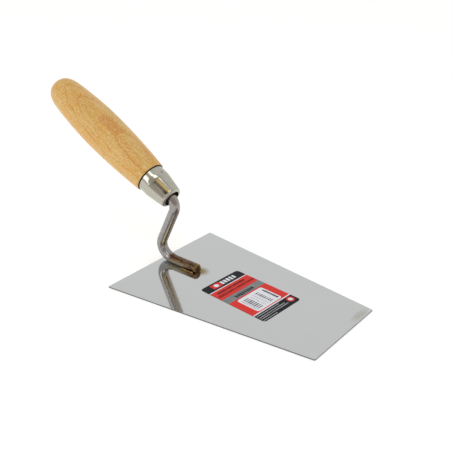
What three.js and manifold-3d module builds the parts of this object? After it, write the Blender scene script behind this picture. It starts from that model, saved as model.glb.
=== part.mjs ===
// Bricklayer's trowel: a flat trapezoid blade, a bent round-bar neck welded to it,
// and a turned wood handle held in a pressed steel ferrule.
//
// Sizes are millimetres. The origin is on the blade's working face, its flat underside,
// on the centre line and half way along the blade. +X points to the narrow front edge,
// +Y to the left of someone holding the handle, and +Z is up.

import * as THREE from "three";
import { mergeVertices } from "three/addons/utils/BufferGeometryUtils.js";
import Module from "manifold-3d";

const wasm = await Module();
wasm.setup();

// Clearance between solids that touch on the real tool along a curved or sloping surface.
const GAP = 0.3;

// Blade: stainless sheet.
const BLADE_LENGTH = 180;
const BLADE_REAR_WIDTH = 125;
const BLADE_FRONT_WIDTH = 80;
const BLADE_THICKNESS = 1;
const BLADE_CORNER_RADIUS = 1;

// Neck: one round steel bar, bent twice. Each bend is given by the corner where the
// centre lines on its two sides would meet.
const BAR_DIAMETER = 8.9;
const BAR_SIDES = 16;
const BAR_STEPS = 84;
const HEEL_OVERHANG = 5.7;
const NECK_RISE = 51.4;
const RISER_ANGLE = THREE.MathUtils.degToRad(64.2);
const HEEL_BEND_RADIUS = 9.9;
const ELBOW_BEND_RADIUS = 9.1;

// Foot: the end of the bar that is pressed a little flat and welded to the blade.
const FOOT_END_X = -50;
const FOOT_WIDTH = 9;
const FOOT_HEIGHT = 6.7;
const FOOT_SEAT_DEPTH = 0.3;
const FOOT_PRESS_RUN_OUT = 8;

// Weld beads: one along each side of the foot's front part.
const WELD_LENGTH = 12.8;
const WELD_WIDTH = 3.2;
const WELD_HEIGHT = 1.8;
const WELD_INSET = 0.2;
const WELD_SHORT_OF_FOOT_END = 1.2;

// Handle axis. Stations along it are measured from the elbow corner towards the butt.
const HANDLE_RAKE = THREE.MathUtils.degToRad(28.2);
const HANDLE_LENGTH = 124.5;
const BUTT_STATION = 157.4;
const SHOULDER_STATION = BUTT_STATION - HANDLE_LENGTH;

// Grip outline: a rounded butt, a swell, and a long taper to the shoulder. A slope is
// the change of radius for each millimetre towards the butt.
const DOME_STATION = BUTT_STATION - 19;
const DOME_RADIUS = 14.7;
const DOME_SLOPE = -0.1;
const DOME_REACH = 0.82;
const DOME_FLATNESS = 0.64;
const SWELL_STATION = BUTT_STATION - 60.5;
const SWELL_RADIUS = 17.25;
const SHOULDER_RADIUS = 13.8;
const SHOULDER_SLOPE = 0.11;
const SHOULDER_CHAMFER = 0.6;

// Ferrule: pressed steel tube with a cone and an inward lip.
const FERRULE_WALL = 1;
const FERRULE_RADIUS = 12.6;
const FERRULE_RIM_STATION = SHOULDER_STATION - 0.5;
const FERRULE_CONE_STATION = 24;
const FERRULE_NOSE_ROUND = 2.2;
const FERRULE_NOSE_RADIUS = 10;
const FERRULE_MOUTH_STATION = 6.4;
const FERRULE_NOSE_STATION = FERRULE_MOUTH_STATION + FERRULE_NOSE_ROUND;
const FERRULE_MOUTH_RADIUS = 7.2;

// Crimps: two flat-bottomed pockets pressed into the ferrule, opposite each other,
// and one small stake mark near the rim.
const CRIMP_WIDTH = 6;
const CRIMP_LENGTH = 14.8;
const CRIMP_DEPTH = 1.4;
const CRIMP_MIDDLE_STATION = 16;
const CRIMP_ANGLE = THREE.MathUtils.degToRad(44);
const STAKE_RADIUS = 1;
const STAKE_DEPTH = 0.5;
const STAKE_STATION = 26;
const STAKE_ANGLE = THREE.MathUtils.degToRad(-6);

// Spike: the tapered end of the bar inside the handle.
const SPIKE_START_STATION = 17;
const SPIKE_TIP_STATION = 94;
const SPIKE_TIP_RADIUS = 1.6;

// Spigot: the turned-down end of the wood inside the ferrule.
const SPIGOT_END_STATION = 12;

// Label: stuck on the blade's upper face, slightly crooked.
const LABEL_LENGTH = 66.4;
const LABEL_WIDTH = 43;
const LABEL_THICKNESS = 0.2;
const LABEL_CORNER_RADIUS = 3;
const LABEL_CENTRE = new THREE.Vector2(5.2, -1.1);
const LABEL_TURN = THREE.MathUtils.degToRad(-3.8);

const barRadius = BAR_DIAMETER / 2;
const heel = new THREE.Vector3(-BLADE_LENGTH / 2 - HEEL_OVERHANG, 0, BLADE_THICKNESS + barRadius);
const elbow = new THREE.Vector3(heel.x + NECK_RISE / Math.tan(RISER_ANGLE), 0, heel.z + NECK_RISE);
const towardsButt = new THREE.Vector3(-Math.cos(HANDLE_RAKE), 0, Math.sin(HANDLE_RAKE));
const coneLength = FERRULE_CONE_STATION - FERRULE_NOSE_STATION;
const coneSlope = (FERRULE_RADIUS - FERRULE_NOSE_RADIUS) / coneLength;

const bladeSteel = new THREE.MeshStandardMaterial({ color: 0xbebebc, roughness: 0.3, metalness: 1 });
const neckSteel = new THREE.MeshStandardMaterial({ color: 0x9a9692, roughness: 0.35, metalness: 1 });
const weldSteel = new THREE.MeshStandardMaterial({ color: 0x6e4a2c, roughness: 0.5, metalness: 1 });
const ferrulePlate = new THREE.MeshStandardMaterial({ color: 0xd6d6d4, roughness: 0.15, metalness: 1 });
const handleWood = new THREE.MeshStandardMaterial({ color: 0xd9ac68, roughness: 0.45, metalness: 0 });
const labelPaper = new THREE.MeshStandardMaterial({ color: 0xe0352b, roughness: 0.4, metalness: 0 });

/** Closed outline through the corners, with every corner rounded. */
function roundedOutline(corners, radius) {
  const outline = new THREE.Shape();
  corners.forEach((corner, index) => {
    const before = corners[(index + corners.length - 1) % corners.length];
    const after = corners[(index + 1) % corners.length];
    const enter = before.clone().sub(corner).setLength(radius).add(corner);
    const leave = after.clone().sub(corner).setLength(radius).add(corner);
    if (index === 0) {
      outline.moveTo(enter.x, enter.y);
    } else {
      outline.lineTo(enter.x, enter.y);
    }
    outline.quadraticCurveTo(corner.x, corner.y, leave.x, leave.y);
  });
  outline.closePath();
  return outline;
}

/** Four corners of a trapezoid that is symmetric about the X axis, anticlockwise. */
function trapezoid(length, rearWidth, frontWidth) {
  return [
    new THREE.Vector2(-length / 2, -rearWidth / 2),
    new THREE.Vector2(length / 2, -frontWidth / 2),
    new THREE.Vector2(length / 2, frontWidth / 2),
    new THREE.Vector2(-length / 2, rearWidth / 2),
  ];
}

/** Turns a closed geometry into a solid that can be cut and joined. */
function toSolid(geometry) {
  const bare = geometry.clone();
  bare.deleteAttribute("normal");
  bare.deleteAttribute("uv");
  const merged = mergeVertices(bare);
  const corners = merged.getIndex().array;
  const faces = [];
  for (let i = 0; i < corners.length; i += 3) {
    const [a, b, c] = corners.slice(i, i + 3);
    if (a !== b && b !== c && c !== a) {
      faces.push(a, b, c);
    }
  }
  return new wasm.Manifold(new wasm.Mesh({
    numProp: 3,
    vertProperties: merged.getAttribute("position").array,
    triVerts: Uint32Array.from(faces),
  }));
}

/** Turns a solid back into a geometry. */
function toGeometry(solid) {
  const { vertProperties, triVerts } = solid.getMesh();
  const geometry = new THREE.BufferGeometry();
  geometry.setAttribute("position", new THREE.BufferAttribute(vertProperties, 3));
  geometry.setIndex(new THREE.BufferAttribute(triVerts, 1));
  geometry.computeVertexNormals();
  return geometry;
}

function namedMesh(name, geometry, material) {
  const mesh = new THREE.Mesh(geometry, material);
  mesh.name = name;
  return mesh;
}

/** Circular arc in the XZ plane, from one angle to another, measured from +X towards +Z. */
class UprightArc extends THREE.Curve {
  constructor(centre, radius, startAngle, endAngle) {
    super();
    this.centre = centre;
    this.radius = radius;
    this.startAngle = startAngle;
    this.endAngle = endAngle;
  }

  getPoint(t, target = new THREE.Vector3()) {
    const angle = THREE.MathUtils.lerp(this.startAngle, this.endAngle, t);
    target.set(Math.cos(angle), 0, Math.sin(angle));
    return target.multiplyScalar(this.radius).add(this.centre);
  }
}

/** The bend that rounds a corner between two straight directions in the XZ plane. */
function bendAt(corner, directionIn, directionOut, radius) {
  const turn = directionIn.angleTo(directionOut);
  const tangentLength = radius * Math.tan(turn / 2);
  const start = corner.clone().addScaledVector(directionIn, -tangentLength);
  const end = corner.clone().addScaledVector(directionOut, tangentLength);
  const inside = directionOut.clone().sub(directionIn).normalize();
  const centre = corner.clone().addScaledVector(inside, radius / Math.cos(turn / 2));
  const startAngle = Math.atan2(start.z - centre.z, start.x - centre.x);
  const cross = directionIn.x * directionOut.z - directionIn.z * directionOut.x;
  const endAngle = startAngle + Math.sign(cross) * turn;
  return { start, end, arc: new UprightArc(centre, radius, startAngle, endAngle) };
}

/** Centre line of the whole bar, from the foot's front end to the spike's tip. */
function barPath() {
  const rearwards = new THREE.Vector3(-1, 0, 0);
  const upRiser = new THREE.Vector3(Math.cos(RISER_ANGLE), 0, Math.sin(RISER_ANGLE));
  const heelBend = bendAt(heel, rearwards, upRiser, HEEL_BEND_RADIUS);
  const elbowBend = bendAt(elbow, upRiser, towardsButt, ELBOW_BEND_RADIUS);
  const footEnd = new THREE.Vector3(FOOT_END_X, 0, heel.z);
  const spikeTip = elbow.clone().addScaledVector(towardsButt, SPIKE_TIP_STATION);
  const path = new THREE.CurvePath();
  path.add(new THREE.LineCurve3(footEnd, heelBend.start));
  path.add(heelBend.arc);
  path.add(new THREE.LineCurve3(heelBend.end, elbowBend.start));
  path.add(elbowBend.arc);
  path.add(new THREE.LineCurve3(elbowBend.end, spikeTip));
  return { path, footBendX: heelBend.start.x };
}

/** Presses a point of the foot flat: wider, lower, and with a narrow flat seat below. */
function pressFoot(point, footBendX) {
  const amount = THREE.MathUtils.smoothstep(point.x, footBendX - FOOT_PRESS_RUN_OUT / 2,
    footBendX + FOOT_PRESS_RUN_OUT / 2);
  const wider = THREE.MathUtils.lerp(1, FOOT_WIDTH / BAR_DIAMETER, amount);
  const lower = THREE.MathUtils.lerp(1, (FOOT_HEIGHT + FOOT_SEAT_DEPTH) / BAR_DIAMETER, amount);
  const height = (point.z - BLADE_THICKNESS) * lower - FOOT_SEAT_DEPTH * amount;
  point.y *= wider;
  point.z = BLADE_THICKNESS + Math.max(height, 0);
}

/** Draws a point of the spike in towards the handle's axis. */
function taperSpike(point) {
  const station = point.clone().sub(elbow).dot(towardsButt);
  if (station <= SPIKE_START_STATION) {
    return;
  }
  const amount = (station - SPIKE_START_STATION) / (SPIKE_TIP_STATION - SPIKE_START_STATION);
  const onAxis = elbow.clone().addScaledVector(towardsButt, station);
  point.sub(onAxis).multiplyScalar(THREE.MathUtils.lerp(1, SPIKE_TIP_RADIUS / barRadius, amount));
  point.add(onAxis);
}

function tangGeometry() {
  const section = new THREE.Shape();
  section.absarc(0, 0, barRadius, 0, 2 * Math.PI);
  const { path, footBendX } = barPath();
  const geometry = new THREE.ExtrudeGeometry(section, {
    curveSegments: BAR_SIDES / 2,
    steps: BAR_STEPS,
    extrudePath: path,
  });
  const points = geometry.getAttribute("position");
  const point = new THREE.Vector3();
  const footTop = BLADE_THICKNESS + BAR_DIAMETER + 1;
  for (let i = 0; i < points.count; i += 1) {
    point.fromBufferAttribute(points, i);
    if (point.z < footTop && point.x > footBendX - FOOT_PRESS_RUN_OUT) {
      pressFoot(point, footBendX);
    } else {
      taperSpike(point);
    }
    points.setXYZ(i, point.x, point.y, point.z);
  }
  return geometry;
}

function bladeGeometry() {
  const corners = trapezoid(BLADE_LENGTH, BLADE_REAR_WIDTH, BLADE_FRONT_WIDTH);
  const outline = roundedOutline(corners, BLADE_CORNER_RADIUS);
  return new THREE.ExtrudeGeometry(outline, {
    depth: BLADE_THICKNESS,
    bevelEnabled: false,
    curveSegments: 4,
  });
}

/** Weld bead: a low mound in the corner between the blade and one side of the foot. */
function weldGeometry(side) {
  const mound = new THREE.SphereGeometry(1, 20, 12);
  mound.scale(WELD_WIDTH / 2, WELD_HEIGHT, WELD_LENGTH / 2);
  mound.rotateX(Math.PI / 2);
  mound.rotateZ(Math.PI / 2);
  const centreX = FOOT_END_X - WELD_SHORT_OF_FOOT_END - WELD_LENGTH / 2;
  mound.translate(centreX, side * (FOOT_WIDTH / 2 - WELD_INSET), BLADE_THICKNESS);

  const footHalfHeight = (FOOT_HEIGHT + FOOT_SEAT_DEPTH) / 2;
  const foot = new THREE.CylinderGeometry(1, 1, 2 * WELD_LENGTH, 24);
  foot.rotateZ(Math.PI / 2);
  foot.scale(1, FOOT_WIDTH / 2 + GAP, footHalfHeight + GAP);
  foot.translate(FOOT_END_X + GAP - WELD_LENGTH, 0,
    BLADE_THICKNESS + footHalfHeight - FOOT_SEAT_DEPTH);

  const belowBlade = new THREE.BoxGeometry(2 * WELD_LENGTH, 4 * WELD_WIDTH, 2 * WELD_HEIGHT);
  belowBlade.translate(centreX, side * WELD_WIDTH, BLADE_THICKNESS - WELD_HEIGHT);
  return toGeometry(toSolid(mound).subtract(toSolid(foot)).subtract(toSolid(belowBlade)));
}

/** Block that presses one crimp, grown by a margin. It lies in the handle's own frame. */
function crimpBlock(angle, margin) {
  const middleRadius = FERRULE_RADIUS - coneSlope * (FERRULE_CONE_STATION - CRIMP_MIDDLE_STATION);
  const tilt = Math.atan(coneSlope);
  const reach = 2 * FERRULE_RADIUS;
  const block = new THREE.BoxGeometry(CRIMP_WIDTH + 2 * margin, CRIMP_LENGTH + 2 * margin, reach);
  block.translate(0, 0, reach / 2 - CRIMP_DEPTH - margin);
  block.rotateX(tilt);
  block.translate(0, CRIMP_MIDDLE_STATION, middleRadius);
  block.rotateY(-angle);
  return toSolid(block);
}

/** Takes both crimps out of a solid. */
function cutCrimps(solid, margin) {
  return solid
    .subtract(crimpBlock(CRIMP_ANGLE, margin))
    .subtract(crimpBlock(CRIMP_ANGLE + Math.PI, margin));
}

/** Shallow round mark punched into the top of the ferrule near its rim. */
function stakeMark() {
  const punch = new THREE.CylinderGeometry(STAKE_RADIUS, STAKE_RADIUS, 2 * STAKE_DEPTH, 12);
  punch.rotateX(Math.PI / 2);
  punch.translate(0, STAKE_STATION, FERRULE_RADIUS);
  punch.rotateY(-STAKE_ANGLE);
  return toSolid(punch);
}

/** Solid turned from a profile of [radius, station] points. */
function turned(points, segments) {
  const profile = points.map(([radius, station]) => new THREE.Vector2(radius, station));
  return toSolid(new THREE.LatheGeometry(profile, segments));
}

/** Profile points of a rounded nose, from its flat end out to its full radius. */
function quarterRound(radius, station, round, steps) {
  return Array.from({ length: steps + 1 }, (_, step) => {
    const angle = Math.PI / 2 * (1 - step / steps);
    return [radius - round * (1 - Math.cos(angle)), station - round * Math.sin(angle)];
  });
}

function ferruleGeometry() {
  const inner = FERRULE_RADIUS - FERRULE_WALL;
  const innerNose = FERRULE_NOSE_RADIUS - FERRULE_WALL;
  const lipTop = FERRULE_MOUTH_STATION + FERRULE_WALL;
  const innerRound = FERRULE_NOSE_ROUND - FERRULE_WALL;
  const outside = turned([
    [0, FERRULE_MOUTH_STATION],
    ...quarterRound(FERRULE_NOSE_RADIUS, FERRULE_NOSE_STATION, FERRULE_NOSE_ROUND, 4),
    [FERRULE_RADIUS, FERRULE_CONE_STATION],
    [FERRULE_RADIUS, FERRULE_RIM_STATION],
    [0, FERRULE_RIM_STATION],
  ], 48);
  const cavity = turned([
    [0, lipTop],
    ...quarterRound(innerNose, FERRULE_NOSE_STATION, innerRound, 2),
    [inner, FERRULE_CONE_STATION],
    [inner, FERRULE_RIM_STATION + 1],
    [0, FERRULE_RIM_STATION + 1],
  ], 48);
  const mouth = turned([
    [0, FERRULE_MOUTH_STATION - 1],
    [FERRULE_MOUTH_RADIUS, FERRULE_MOUTH_STATION - 1],
    [FERRULE_MOUTH_RADIUS, lipTop + 1],
    [0, lipTop + 1],
  ], 48);
  const pressedOutside = cutCrimps(outside, 0).subtract(stakeMark());
  const pressedCavity = cutCrimps(cavity, FERRULE_WALL);
  return toGeometry(pressedOutside.subtract(pressedCavity).subtract(mouth));
}

/** Adds a stretch to an outline, smooth between the slopes at its two ends. */
function addStretch(outline, from, fromSlope, to, toSlope) {
  const third = (to.y - from.y) / 3;
  outline.bezierCurveTo(from.x + fromSlope * third, from.y + third,
    to.x - toSlope * third, to.y - third, to.x, to.y);
}

/** Outline of the handle's grip, from the butt's pole to the shoulder. */
function gripOutline() {
  const dome = new THREE.Vector2(DOME_RADIUS, DOME_STATION);
  const swell = new THREE.Vector2(SWELL_RADIUS, SWELL_STATION);
  const shoulder = new THREE.Vector2(SHOULDER_RADIUS, SHOULDER_STATION + SHOULDER_CHAMFER);
  const domeReach = DOME_REACH * (BUTT_STATION - DOME_STATION);
  const outline = new THREE.Path();
  outline.moveTo(0, BUTT_STATION);
  outline.bezierCurveTo(DOME_FLATNESS * DOME_RADIUS, BUTT_STATION,
    DOME_RADIUS + DOME_SLOPE * domeReach, DOME_STATION + domeReach, dome.x, dome.y);
  addStretch(outline, dome, DOME_SLOPE, swell, 0);
  addStretch(outline, swell, 0, shoulder, SHOULDER_SLOPE);
  return outline.getPoints(8).map((point) => [point.x, point.y]);
}

function handleGeometry() {
  const clearance = FERRULE_WALL + GAP;
  const spigotRadius = FERRULE_RADIUS - clearance;
  const spigotEndRadius = spigotRadius - coneSlope * (FERRULE_CONE_STATION - SPIGOT_END_STATION);
  const boreRadius = barRadius + GAP;
  const wood = turned([
    [0, SPIGOT_END_STATION],
    [spigotEndRadius, SPIGOT_END_STATION],
    [spigotRadius, FERRULE_CONE_STATION],
    [spigotRadius, SHOULDER_STATION],
    [SHOULDER_RADIUS - SHOULDER_CHAMFER, SHOULDER_STATION],
    ...gripOutline().reverse(),
  ], 40);
  const bore = turned([
    [0, SPIGOT_END_STATION - 1],
    [boreRadius, SPIGOT_END_STATION - 1],
    [boreRadius, SPIKE_START_STATION + 1],
    [SPIKE_TIP_RADIUS + GAP, SPIKE_TIP_STATION + 1],
    [0, SPIKE_TIP_STATION + 1],
  ], 24);
  return toGeometry(cutCrimps(wood, clearance).subtract(bore));
}

function labelMesh() {
  const corners = trapezoid(LABEL_LENGTH, LABEL_WIDTH, LABEL_WIDTH);
  const geometry = new THREE.ExtrudeGeometry(roundedOutline(corners, LABEL_CORNER_RADIUS), {
    depth: LABEL_THICKNESS,
    bevelEnabled: false,
    curveSegments: 6,
  });
  const mesh = namedMesh("label", geometry, labelPaper);
  mesh.position.set(LABEL_CENTRE.x, LABEL_CENTRE.y, BLADE_THICKNESS);
  mesh.rotation.z = LABEL_TURN;
  return mesh;
}

/** Ferrule and wood, on the handle's own axis: local +Y runs from the elbow to the butt. */
function handleGroup() {
  const group = new THREE.Group();
  group.add(namedMesh("ferrule", ferruleGeometry(), ferrulePlate));
  group.add(namedMesh("handle", handleGeometry(), handleWood));
  group.position.copy(elbow);
  group.rotation.set(0, HANDLE_RAKE, Math.PI / 2);
  return group;
}

const trowel = new THREE.Group();
trowel.add(namedMesh("blade", bladeGeometry(), bladeSteel));
trowel.add(namedMesh("tang", tangGeometry(), neckSteel));
trowel.add(namedMesh("weld_bead_left", weldGeometry(1), weldSteel));
trowel.add(namedMesh("weld_bead_right", weldGeometry(-1), weldSteel));
trowel.add(labelMesh());
trowel.add(handleGroup());

export default trowel;
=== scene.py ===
"""Bricklayer's trowel with a trapezoid blade, laid out as an add-on and run as a script."""

import math

import bmesh
import bpy
from mathutils import Matrix, Vector, noise


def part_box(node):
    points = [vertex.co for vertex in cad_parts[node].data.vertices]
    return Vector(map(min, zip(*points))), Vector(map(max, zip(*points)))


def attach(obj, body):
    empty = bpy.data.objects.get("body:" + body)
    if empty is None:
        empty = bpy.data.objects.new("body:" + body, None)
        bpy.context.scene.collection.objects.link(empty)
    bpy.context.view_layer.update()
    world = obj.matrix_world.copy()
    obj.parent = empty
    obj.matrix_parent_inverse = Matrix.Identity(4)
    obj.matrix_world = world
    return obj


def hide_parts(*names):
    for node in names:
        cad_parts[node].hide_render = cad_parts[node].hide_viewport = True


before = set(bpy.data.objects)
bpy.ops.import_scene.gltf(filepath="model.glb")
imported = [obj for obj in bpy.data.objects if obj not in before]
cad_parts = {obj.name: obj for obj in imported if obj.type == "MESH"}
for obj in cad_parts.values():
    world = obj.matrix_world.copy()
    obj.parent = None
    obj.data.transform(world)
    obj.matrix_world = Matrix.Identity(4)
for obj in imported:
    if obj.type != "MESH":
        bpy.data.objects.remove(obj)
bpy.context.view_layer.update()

bl_info = {
    "name": "Bricklayer's trowel",
    "version": (1, 0, 0),
    "blender": (4, 5, 0),
    "location": "3D View > Sidebar > Trowel",
    "description": "Builds a welded-neck trowel with a turned handle, piece by piece",
    "category": "Object",
}

MM = 0.001
BODY = "root"
BLADE_LOW, BLADE_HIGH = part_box("blade")

# Millimetres along the handle's axis, from the elbow corner towards the butt.
SPIGOT_END, BORE_MOUTH, BORE_END = 12, 18, 95
SPIKE_START, SPIKE_TIP = 17, 94
BORE_RADIUS, BORE_END_RADIUS = 4.75, 1.9
SPIKE_TAPER = 0.62  # share of its radius that the spike loses on its way to the tip

# Outline of the grip, in millimetres back from the butt. A slope is the change of radius
# for each millimetre towards the butt.
DOME_BACK, SWELL_BACK = 19, 60.5
SHOULDER_SLOPE, DOME_SLOPE = 0.11, -0.1
DOME_REACH, DOME_FLATNESS = 0.82, 0.64
SHOULDER_CHAMFER = 0.6
RIM_GAP = 0.5  # between the ferrule's rim and the wood's shoulder
FIT_GAP = 0.3  # between the wood and the ferrule's inside

# Walls of the ferrule's pockets, in millimetres: the one nearer the handle's top is steep,
# and the other one runs out gently.
STEEP_WALL, GENTLE_WALL = 2.3, 3.4
POCKET_CORNER, SINK_REACH = 1.2, 4.5
FLOOR_DIP, FLOOR_TILT = 0.05, 0.05
STAKE_DEPTH, STAKE_RADIUS = 0.7, 1.1

INK_STEP = 0.015  # millimetres from the top of one ink layer to the next


# ---------------------------------------------------------------- settings


class BladeSettings(bpy.types.PropertyGroup):
    """The stainless sheet."""

    front_width: bpy.props.FloatProperty(
        name="Front width", description="Width across the narrow front edge",
        default=80 * MM, unit="LENGTH")
    rear_width: bpy.props.FloatProperty(
        name="Rear width", description="Width across the rear edge before its corners are rounded",
        default=125 * MM, unit="LENGTH")
    corner_radius: bpy.props.FloatProperty(
        name="Corner radius", description="Rounding of the blade's four corners",
        default=0.7 * MM, unit="LENGTH")
    edge_break: bpy.props.FloatProperty(
        name="Edge break", description="Width of the burr-free break along the sheared edges",
        default=0.12 * MM, unit="LENGTH")
    colour: bpy.props.StringProperty(
        name="Steel colour", description="Stainless sheet, as an sRGB hex value", default="#ced0cf")


class NeckSettings(bpy.types.PropertyGroup):
    """The bent bar with its foot and spike."""

    bar_diameter: bpy.props.FloatProperty(
        name="Bar diameter", description="Thickness of the round bar", default=8.9 * MM, unit="LENGTH")
    heel_overhang: bpy.props.FloatProperty(
        name="Heel overhang", description="From the rear edge back to the corner of the heel's centre lines",
        default=5.7 * MM, unit="LENGTH")
    rise: bpy.props.FloatProperty(
        name="Rise", description="Height from the heel corner to the elbow corner",
        default=51.4 * MM, unit="LENGTH")
    riser_angle: bpy.props.FloatProperty(
        name="Riser angle", description="Slope of the riser above the blade",
        default=math.radians(64.2), subtype="ANGLE")
    heel_radius: bpy.props.FloatProperty(
        name="Heel bend", description="Bend radius of the centre line at the heel",
        default=9.9 * MM, unit="LENGTH")
    elbow_radius: bpy.props.FloatProperty(
        name="Elbow bend", description="Bend radius of the centre line at the elbow",
        default=9.1 * MM, unit="LENGTH")
    foot_width: bpy.props.FloatProperty(
        name="Foot width", description="Width of the pressed foot", default=9 * MM, unit="LENGTH")
    foot_height: bpy.props.FloatProperty(
        name="Foot height", description="Height of the pressed foot", default=6.7 * MM, unit="LENGTH")
    colour: bpy.props.StringProperty(
        name="Bar colour", description="Drawn steel bar, as an sRGB hex value", default="#a3a3a6")


class HandleSettings(bpy.types.PropertyGroup):
    """The turned wood, with stations measured from the elbow corner towards the butt."""

    rake: bpy.props.FloatProperty(
        name="Rake", description="Slope of the handle above the blade",
        default=math.radians(28.2), subtype="ANGLE")
    length: bpy.props.FloatProperty(
        name="Grip length", description="From the shoulder to the butt", default=124.5 * MM,
        unit="LENGTH")
    butt_station: bpy.props.FloatProperty(
        name="Butt station", description="From the elbow corner to the butt",
        default=157.4 * MM, unit="LENGTH")
    swell_radius: bpy.props.FloatProperty(
        name="Swell radius", description="Radius at the thickest place", default=17.25 * MM, unit="LENGTH")
    dome_radius: bpy.props.FloatProperty(
        name="Dome radius", description="Radius where the butt's rounding starts",
        default=14.7 * MM, unit="LENGTH")
    grain_turn: bpy.props.FloatProperty(
        name="Grain turn", description="From the top round to the crown of the growth rings",
        default=math.radians(22), subtype="ANGLE")
    grain_slope: bpy.props.FloatProperty(
        name="Grain slope", description="How much the pith slopes across the handle",
        default=0.1)
    pith_depth: bpy.props.FloatProperty(
        name="Pith depth", description="From the handle's axis down to the pith",
        default=45 * MM, unit="LENGTH")
    ring_width: bpy.props.FloatProperty(
        name="Ring width", description="Width of one growth ring", default=3.9 * MM, unit="LENGTH")
    shoulder_radius: bpy.props.FloatProperty(
        name="Shoulder radius", description="Radius at the ferrule end", default=13.8 * MM, unit="LENGTH")
    colour: bpy.props.StringProperty(
        name="Wood colour", description="Lacquered pale hardwood, as an sRGB hex value",
        default="#dcb464")


class FerruleSettings(bpy.types.PropertyGroup):
    """The pressed and plated ferrule."""

    radius: bpy.props.FloatProperty(
        name="Radius", description="Outer radius of the straight part", default=12.6 * MM, unit="LENGTH")
    nose_radius: bpy.props.FloatProperty(
        name="Nose radius", description="Outer radius at the small end of the cone",
        default=10 * MM, unit="LENGTH")
    mouth_radius: bpy.props.FloatProperty(
        name="Mouth radius", description="Radius of the open end around the neck",
        default=7.2 * MM, unit="LENGTH")
    cone_station: bpy.props.FloatProperty(
        name="Cone station", description="Where the cone meets the straight part",
        default=24 * MM, unit="LENGTH")
    mouth_station: bpy.props.FloatProperty(
        name="Mouth station", description="Where the open end is, measured from the elbow corner",
        default=6.4 * MM, unit="LENGTH")
    nose_round: bpy.props.FloatProperty(
        name="Nose round", description="Rounding between the cone and the open end",
        default=2.2 * MM, unit="LENGTH")
    crimp_station: bpy.props.FloatProperty(
        name="Crimp station", description="Middle of the pockets along the handle",
        default=16 * MM, unit="LENGTH")
    crimp_sink: bpy.props.FloatProperty(
        name="Crimp sink", description="How far the metal sinks all round a pocket",
        default=0.5 * MM, unit="LENGTH")
    stake_station: bpy.props.FloatProperty(
        name="Stake station", description="Place of the punched mark along the handle",
        default=26 * MM, unit="LENGTH")
    stake_angle: bpy.props.FloatProperty(
        name="Stake angle", description="From the top of the handle round to the punched mark",
        default=math.radians(-6), subtype="ANGLE")
    wall: bpy.props.FloatProperty(
        name="Wall", description="Thickness of the steel", default=1 * MM, unit="LENGTH")
    crimp_width: bpy.props.FloatProperty(
        name="Crimp width", description="Width of each pressed pocket", default=6 * MM, unit="LENGTH")
    crimp_length: bpy.props.FloatProperty(
        name="Crimp length", description="Length of each pressed pocket",
        default=14.8 * MM, unit="LENGTH")
    crimp_depth: bpy.props.FloatProperty(
        name="Crimp depth", description="Depth of the pockets' flat floor", default=1.4 * MM, unit="LENGTH")
    crimp_angle: bpy.props.FloatProperty(
        name="Crimp angle", description="From the top of the handle round to the first pocket",
        default=math.radians(44), subtype="ANGLE")
    colour: bpy.props.StringProperty(
        name="Plating colour", description="Bright plating, as an sRGB hex value", default="#bdbbb0")


class LabelSettings(bpy.types.PropertyGroup):
    """The printed film stuck on the blade."""

    length: bpy.props.FloatProperty(
        name="Length", description="Size along the blade", default=66.4 * MM, unit="LENGTH")
    width: bpy.props.FloatProperty(
        name="Width", description="Size across the blade", default=43 * MM, unit="LENGTH")
    corner_radius: bpy.props.FloatProperty(
        name="Corner radius", description="Rounding of the corners", default=3 * MM, unit="LENGTH")
    film: bpy.props.FloatProperty(
        name="Film", description="Thickness of the film", default=0.12 * MM, unit="LENGTH")
    centre: bpy.props.FloatVectorProperty(
        name="Centre", description="Place of the label's middle on the blade",
        default=(5.2 * MM, -1.1 * MM), size=2, unit="LENGTH")
    turn: bpy.props.FloatProperty(
        name="Turn", description="How crooked the label sits", default=math.radians(-3.8),
        subtype="ANGLE")


class StageSettings(bpy.types.PropertyGroup):
    """Floor, light and camera."""

    lens: bpy.props.FloatProperty(
        name="Lens", description="Focal length on a 36 mm sensor", default=56.05, unit="CAMERA")
    azimuth: bpy.props.FloatProperty(
        name="Azimuth", description="Camera's direction round the object, 0 looking along +Y",
        default=math.radians(39.16), subtype="ANGLE")
    elevation: bpy.props.FloatProperty(
        name="Elevation", description="Camera's height above the horizon",
        default=math.radians(25.88), subtype="ANGLE")
    place: bpy.props.FloatVectorProperty(
        name="Place", description="Camera's position", default=(0.28812, -0.37821, 0.28912),
        size=3, subtype="TRANSLATION", unit="LENGTH")
    tent: bpy.props.FloatProperty(
        name="Tent light", description="Brightness of the white tent", default=0.85, min=0.0)
    key: bpy.props.FloatProperty(
        name="Key light",
        description="Power of the front softbox. The overhead strip has four fifths of it",
        default=1.0, unit="POWER")


SETTINGS = {
    "trowel_blade": BladeSettings,
    "trowel_neck": NeckSettings,
    "trowel_handle": HandleSettings,
    "trowel_ferrule": FerruleSettings,
    "trowel_label": LabelSettings,
    "trowel_stage": StageSettings,
}


# ---------------------------------------------------------------- nodes and colours


def linear(hex_colour):
    """An sRGB hex value as a linear colour with full alpha."""
    channels = [int(hex_colour[i:i + 2], 16) / 255 for i in (1, 3, 5)]
    bent = [c / 12.92 if c <= 0.04045 else ((c + 0.055) / 1.055) ** 2.4 for c in channels]
    return (*bent, 1.0)


def add_node(tree, kind, inputs=None, **settings):
    """Adds a node. Each input takes a value, or another node's output to link from."""
    node = tree.nodes.new(kind)
    for name, value in settings.items():
        setattr(node, name, value)
    for name, value in (inputs or {}).items():
        if isinstance(value, bpy.types.NodeSocket):
            tree.links.new(value, node.inputs[name])
        else:
            node.inputs[name].default_value = value
    return node


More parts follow.
